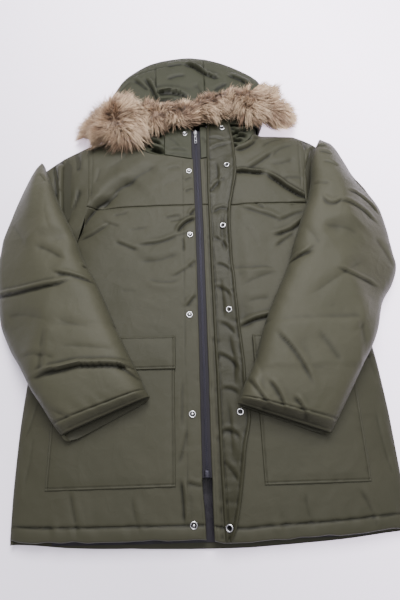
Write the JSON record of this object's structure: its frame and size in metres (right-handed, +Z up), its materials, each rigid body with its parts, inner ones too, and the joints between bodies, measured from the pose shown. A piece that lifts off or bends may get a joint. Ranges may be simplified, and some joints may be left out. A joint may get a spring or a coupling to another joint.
{
  "type": "fur trimmed parka",
  "caption": "Padded hooded parka lying flat on its back, sleeves bent over the fronts, zip closed, snap storm flap turned back, patch pockets and a fur trimmed hood.",
  "frame": {"origin": "bottom centre of the bounding box, on the surface the coat lies on", "axes": "+X across the coat towards its wearer's left side, +Y from hem to hood, +Z up out of the surface"},
  "size_m": [0.798, 1.0742, 0.088],
  "materials": {
    "shell_cloth": "plain peached polyester, padded",
    "flap_cloth": "inner side of the storm flap, soft sheen",
    "lining_cloth": "smooth lining",
    "zip_tape": "woven tape",
    "zip_teeth": "moulded teeth",
    "fur": "long pile imitation fur",
    "snap_metal": "bright plated",
    "slider_metal": "satin plated"
  },
  "bodies": {
    "coat": {"back_panel": "shell_cloth", "collar_left": "shell_cloth", "collar_right": "shell_cloth", "front_left": "shell_cloth", "front_right": "shell_cloth", "fur_left": "fur", "fur_right": "fur", "fur_top": "fur", "hood_centre": "shell_cloth", "hood_front_left": "shell_cloth", "hood_front_right": "shell_cloth", "hood_side_left": "shell_cloth", "hood_side_right": "shell_cloth", "lining_back": "lining_cloth", "pocket_flap_left": "shell_cloth", "pocket_flap_right": "shell_cloth", "pocket_left": "shell_cloth", "pocket_right": "shell_cloth", "sleeve_head_left": "shell_cloth", "sleeve_head_right": "shell_cloth", "sleeve_left": "shell_cloth", "sleeve_right": "shell_cloth", "snap_socket_1": "snap_metal", "snap_socket_2": "snap_metal", "snap_socket_3": "snap_metal", "snap_socket_4": "snap_metal", "snap_socket_5": "snap_metal", "snap_socket_6": "snap_metal", "snap_stud_1": "snap_metal", "snap_stud_2": "snap_metal", "snap_stud_3": "snap_metal", "snap_stud_4": "snap_metal", "snap_stud_5": "snap_metal", "snap_stud_6": "snap_metal", "storm_flap": "flap_cloth", "yoke_left": "shell_cloth", "yoke_right": "shell_cloth", "zip_box": "zip_teeth", "zip_chain": "zip_teeth", "zip_slider": "slider_metal", "zip_tape_left": "zip_tape", "zip_tape_right": "zip_tape"},
    "pull_tab": {"zip_pull": "slider_metal"}
  },
  "joints": [
    {"name": "pull_tab_hinge", "type": "hinge", "parent": "coat", "child": "pull_tab", "pos_m": [0.00468, 0.28105, 0.0393], "axis": [-1, 0, 0], "range_deg": [0, 110]}
  ]
}
